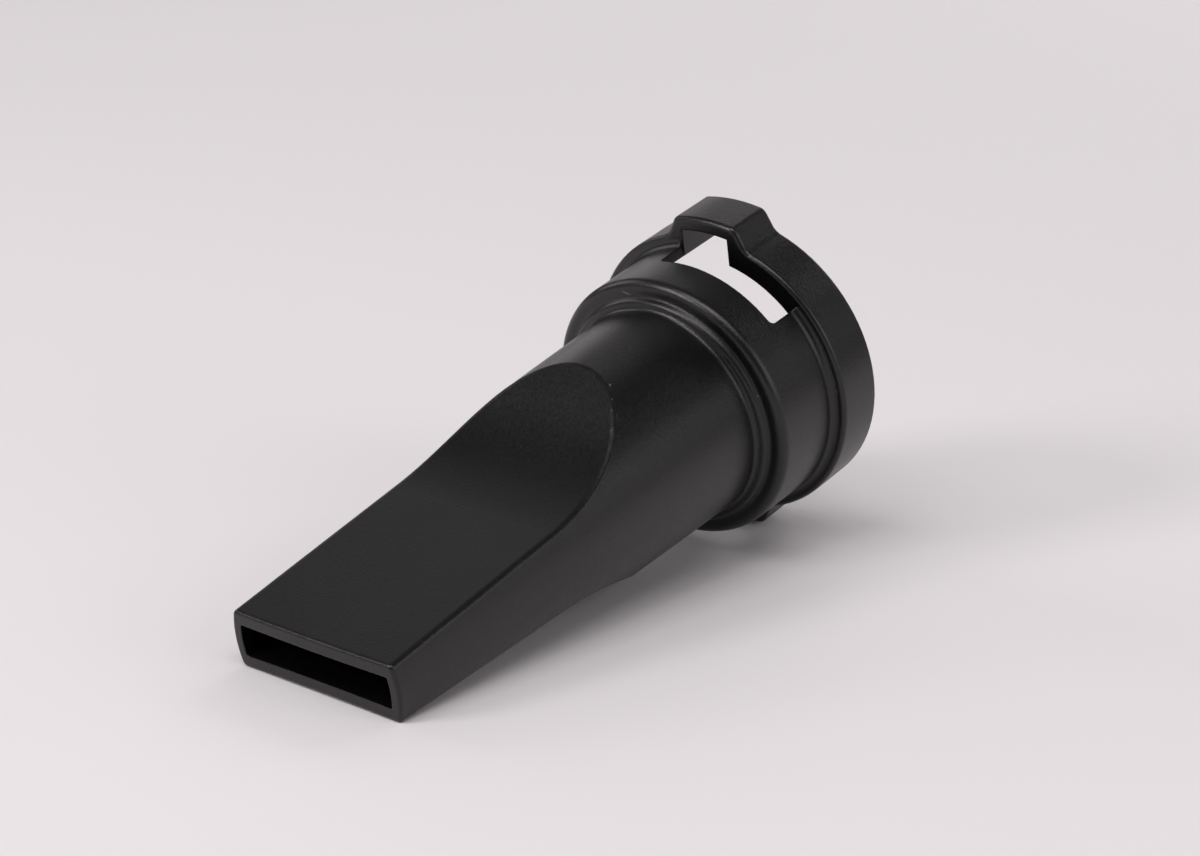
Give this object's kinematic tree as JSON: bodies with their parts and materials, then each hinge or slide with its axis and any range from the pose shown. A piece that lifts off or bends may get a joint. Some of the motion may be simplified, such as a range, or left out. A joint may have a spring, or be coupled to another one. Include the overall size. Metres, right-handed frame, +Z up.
{
  "type": "hair dryer concentrator nozzle",
  "caption": "Moulded nozzle that squeezes a hair dryer's round air stream into a flat jet, with a ringed collar that plugs on and turns to lock.",
  "frame": {"origin": "centre of the bounding box on the floor that the nozzle lies on", "axes": "+X level, from the outlet slot towards the collar; +Z up; the axis of the tube rises from the outlet to the collar in the XZ plane"},
  "size_m": [0.1344, 0.06, 0.0677],
  "materials": {
    "nozzle_plastic": "fine matt moulded texture with a soft sheen"
  },
  "bodies": {
    "root": {"nozzle_body": "nozzle_plastic"}
  },
  "joints": []
}
